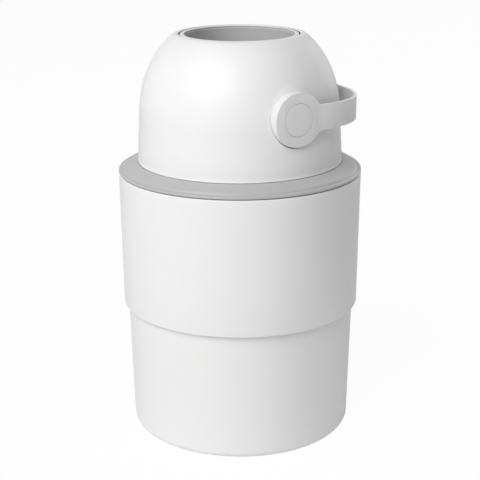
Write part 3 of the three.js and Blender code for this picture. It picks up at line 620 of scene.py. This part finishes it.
def strap_columns():
    """Places as [x, y] along the handle's outer face, from the front disc's edge to the strap's middle."""
    columns = []
    for i in range(DISC_STEPS):
        columns.append((-DISC_FACE * math.cos(math.pi / 2 * i / DISC_STEPS), -HALF_WIDTH))
    columns += [(BEND_START * i / FLAT_STEPS, -HALF_WIDTH) for i in range(FLAT_STEPS + 1)]
    for i in range(1, BEND_STEPS + 1):
        angle = math.pi / 2 * (1 - i / BEND_STEPS)
        x = BEND_START + (REACH - BEND_START) * math.cos(angle) ** (2 / STRAP_POWER)
        y = -HALF_WIDTH * math.sin(angle) ** (2 / STRAP_POWER)
        columns.append((x, y if i < BEND_STEPS else 0.0))
    return columns


half_line = strap_columns()
line = half_line + [(x, -y) for x, y in half_line[-2::-1]]
bpy.ops.mesh.primitive_plane_add(size=2 * MM)
handle = bpy.context.object
handle.name = handle.data.name = "handle_moulding"
bpy.ops.object.mode_set(mode="EDIT")
bpy.ops.mesh.select_mode(type="VERT")
bpy.ops.mesh.select_all(action="SELECT")
bpy.ops.mesh.merge(type="CENTER")
x0, y0 = line[0]
start_half = strap_half_height(x0)
bpy.ops.transform.translate(value=(x0 * MM, y0 * MM, (PIVOT - start_half) * MM))
bpy.ops.mesh.extrude_region_move(TRANSFORM_OT_translate={"value": (0, 0, 2 * start_half * MM)})
bpy.ops.mesh.select_all(action="SELECT")
for (x, y), (next_x, next_y) in zip(line, line[1:]):
    step = ((next_x - x) * MM, (next_y - y) * MM, 0)
    bpy.ops.mesh.extrude_region_move(TRANSFORM_OT_translate={"value": step})
    taller = strap_half_height(next_x) / strap_half_height(x)
    bpy.ops.transform.resize(value=(1, 1, taller), center_override=(0, 0, PIVOT * MM))
finish_edit(handle)
outward = handle.data.polygons[len(handle.data.polygons) // 2].normal.x > 0
bpy.ops.object.modifier_add(type="SOLIDIFY")
shell = handle.modifiers[-1]
shell.thickness = STRAP * MM
shell.offset = -1 if outward else 1
shell.use_even_offset = True
bpy.ops.object.modifier_apply(modifier=shell.name)
bpy.ops.object.mode_set(mode="EDIT")
finish_edit(handle)
# The bevel narrows itself to the gap between the closest columns, at the disc's edge.
bpy.ops.object.modifier_add(type="BEVEL")
edge = handle.modifiers[-1]
edge.width = STRAP_EDGE * MM
edge.segments = 3
edge.limit_method = "ANGLE"
edge.angle_limit = math.radians(50)
bpy.ops.object.modifier_apply(modifier=edge.name)

# Discs of the handle. Each stands on the dome's pad, with a skirt in the groove round it, and
# has a round seat in its face that the hub cap is pressed into.
DISC_CORE = 5.0
DISC_GAP = 0.3
DISC_FRONT = 109.9
DISC_SKIRT = POCKET - 0.2
DISC_SKIRT_BORE = 25.9
CAP_SEAT = 17.0
CAP_SEAT_FLOOR = 108.45
CAP_SEAT_RIM = 109.95
CLEAR_OF_FACE = 114.0

disc_line = [
    (DISC_CORE, PAD_FACE + DISC_GAP), (DISC_SKIRT_BORE, PAD_FACE + DISC_GAP),
    *near(DISC_SKIRT_BORE, GROOVE_FLOOR + DISC_GAP, (0, 0.2), (0.2, 0)),
    *near(DISC_SKIRT, GROOVE_FLOOR + DISC_GAP, (-0.55, 0), (-0.15, 0.15), (0, 0.5)),
    (DISC_FACE + 0.04, DISC_FRONT), (DISC_CORE, DISC_FRONT)]
cap_seat_line = [
    (DISC_CORE, CAP_SEAT_FLOOR), (CAP_SEAT, CAP_SEAT_FLOOR),
    *near(CAP_SEAT, CAP_SEAT_RIM, (0, 0), (0.2, 0.4)),
    (CAP_SEAT + 0.2, CLEAR_OF_FACE), (DISC_CORE, CLEAR_OF_FACE)]
for side in (-1, 1):
    join(handle, sideways(turn_up("disc", DISC_SIDES, disc_line, ring=False), side), "UNION")
    join(handle, sideways(turn_up("seat", DISC_SIDES, cap_seat_line, ring=False), side), "DIFFERENCE")
smooth(handle)
dress(handle, HANDLE_WHITE, "white_plastic", "drum", "handle")

# Hub caps. Plain white discs, pressed into the handle's discs over the screws, with a fine
# groove left all round.
CAP = frame_box("hub_cap_rear")[1][0]
CAP_BACK = frame_box("hub_cap_rear")[0][1]
CAP_EDGE = 0.4
CAP_MIDDLE = 9.0

cap_line = [
    (CORE, CAP_BACK), *near(CAP, CAP_BACK, (-0.2, 0), (0, 0.2), (0, 0.9)),
    *arc(CAP - CAP_EDGE, HALF_WIDTH - CAP_EDGE, CAP_EDGE, 0, 90, 4),
    (CAP_MIDDLE, HALF_WIDTH), (CORE, HALF_WIDTH)]
for side, end in ((-1, "front"), (1, "rear")):
    cap = sideways(turn_up(f"hub_cap_disc_{end}", DISC_SIDES, cap_line, ring=False), side)
    smooth(cap)
    dress(cap, HANDLE_WHITE, "white_plastic", "drum", f"hub_cap_{end}")

# Floor. A plain pale floor that keeps a faint shadow and runs out to white for the camera.
# From here on, places and sizes are in metres.
FLOOR_SIZE = 14.0
FLOOR_HEIGHT = -0.0004
WHITE_SHARE = 0.96

bpy.ops.mesh.primitive_plane_add(size=FLOOR_SIZE, location=(0, 0, FLOOR_HEIGHT))
ground = bpy.context.object
ground.name = "studio_floor"
ground.select_set(False)
paper = bpy.data.materials.new("pale_paper")
paper.use_nodes = True
nodes, link = paper.node_tree.nodes, paper.node_tree.links.new
matt = nodes["Principled BSDF"]
matt.inputs["Base Color"].default_value = (0.93, 0.93, 0.93, 1)
matt.inputs["Roughness"].default_value = 0.9
glow = nodes.new("ShaderNodeEmission")
glow.inputs["Color"].default_value = (1, 1, 1, 1)
glow.inputs["Strength"].default_value = 1.0
path = nodes.new("ShaderNodeLightPath")
share = nodes.new("ShaderNodeMath")
share.operation = "MULTIPLY"
share.inputs[1].default_value = WHITE_SHARE
mix = nodes.new("ShaderNodeMixShader")
link(path.outputs["Is Camera Ray"], share.inputs[0])
link(share.outputs[0], mix.inputs["Fac"])
link(matt.outputs[0], mix.inputs[1])
link(glow.outputs[0], mix.inputs[2])
link(mix.outputs[0], nodes["Material Output"].inputs["Surface"])
ground.data.materials.append(paper)

# Light. A pale studio: an even world, one large soft lamp high at the camera's left, weaker
# ones round it, and a small one low at the right, in the place of light off a white sweep.
WORLD_LEVEL = 0.1
SEEN_LEVEL = 1.0
CAMERA_TURN = math.radians(-32.4)

world = bpy.data.worlds.new("studio")
bpy.context.scene.world = world
world.use_nodes = True
nodes, link = world.node_tree.nodes, world.node_tree.links.new
soft = nodes["Background"]
soft.inputs["Color"].default_value = (1, 1, 1, 1)
soft.inputs["Strength"].default_value = WORLD_LEVEL
white = nodes.new("ShaderNodeBackground")
white.inputs["Color"].default_value = (1, 1, 1, 1)
white.inputs["Strength"].default_value = SEEN_LEVEL
path = nodes.new("ShaderNodeLightPath")
seen = nodes.new("ShaderNodeMath")
seen.operation = "MAXIMUM"
mirrored = nodes.new("ShaderNodeMath")
mirrored.operation = "MAXIMUM"
link(path.outputs["Is Camera Ray"], seen.inputs[0])
link(path.outputs["Is Glossy Ray"], mirrored.inputs[0])
link(path.outputs["Is Transmission Ray"], mirrored.inputs[1])
link(mirrored.outputs[0], seen.inputs[1])
mix = nodes.new("ShaderNodeMixShader")
link(seen.outputs[0], mix.inputs["Fac"])
link(soft.outputs[0], mix.inputs[1])
link(white.outputs[0], mix.inputs[2])
link(mix.outputs[0], nodes["World Output"].inputs["Surface"])


def soft_lamp(name, bearing, rise, distance, size, power, aim_height=0.25):
    """A square lamp aimed at the bin: bearing in degrees to the camera's left, rise above the horizon."""
    lamp = bpy.data.lights.new(name, "AREA")
    lamp.shape = "SQUARE"
    lamp.size = size
    lamp.energy = power
    stand = bpy.data.objects.new(name, lamp)
    bpy.context.collection.objects.link(stand)
    turn = Matrix.Rotation(CAMERA_TURN - math.radians(bearing), 4, "Z")
    tilt = Matrix.Rotation(math.radians(90 - rise), 4, "X")
    aim = Matrix.Translation((0, 0, aim_height))
    stand.matrix_world = aim @ turn @ tilt @ Matrix.Translation((0, 0, distance))
    stand.visible_camera = False


soft_lamp("key_lamp", bearing=35, rise=40, distance=4.0, size=3.0, power=150)
soft_lamp("high_lamp", bearing=-50, rise=60, distance=4.0, size=2.4, power=17)
soft_lamp("right_lamp", bearing=-135, rise=15, distance=4.0, size=2.4, power=29)
soft_lamp("left_lamp", bearing=115, rise=15, distance=4.0, size=2.4, power=10)
soft_lamp("sweep_lamp", bearing=-75, rise=0, distance=0.32, size=0.14, power=0.04, aim_height=0.02)

# Camera. It looks slightly down at the bin from its front left, through a long lens. Its
# place, tilt and roll were fitted to the bin's outlines in the photograph.
CAMERA_PLACE = (-0.68415, -1.07805, 0.60627)
CAMERA_DOWN = 17.4396
CAMERA_ROLL = -0.00403

lens = bpy.data.cameras.new("camera")
lens.lens = 91.33
lens.sensor_width = 36
lens.shift_x = -0.00046
lens.clip_end = 50
camera = bpy.data.objects.new("camera", lens)
bpy.context.collection.objects.link(camera)
camera.matrix_world = (Matrix.Translation(CAMERA_PLACE)
                       @ Matrix.Rotation(CAMERA_TURN, 4, "Z")
                       @ Matrix.Rotation(math.radians(90 - CAMERA_DOWN), 4, "X")
                       @ Matrix.Rotation(CAMERA_ROLL, 4, "Z"))
bpy.context.scene.camera = camera
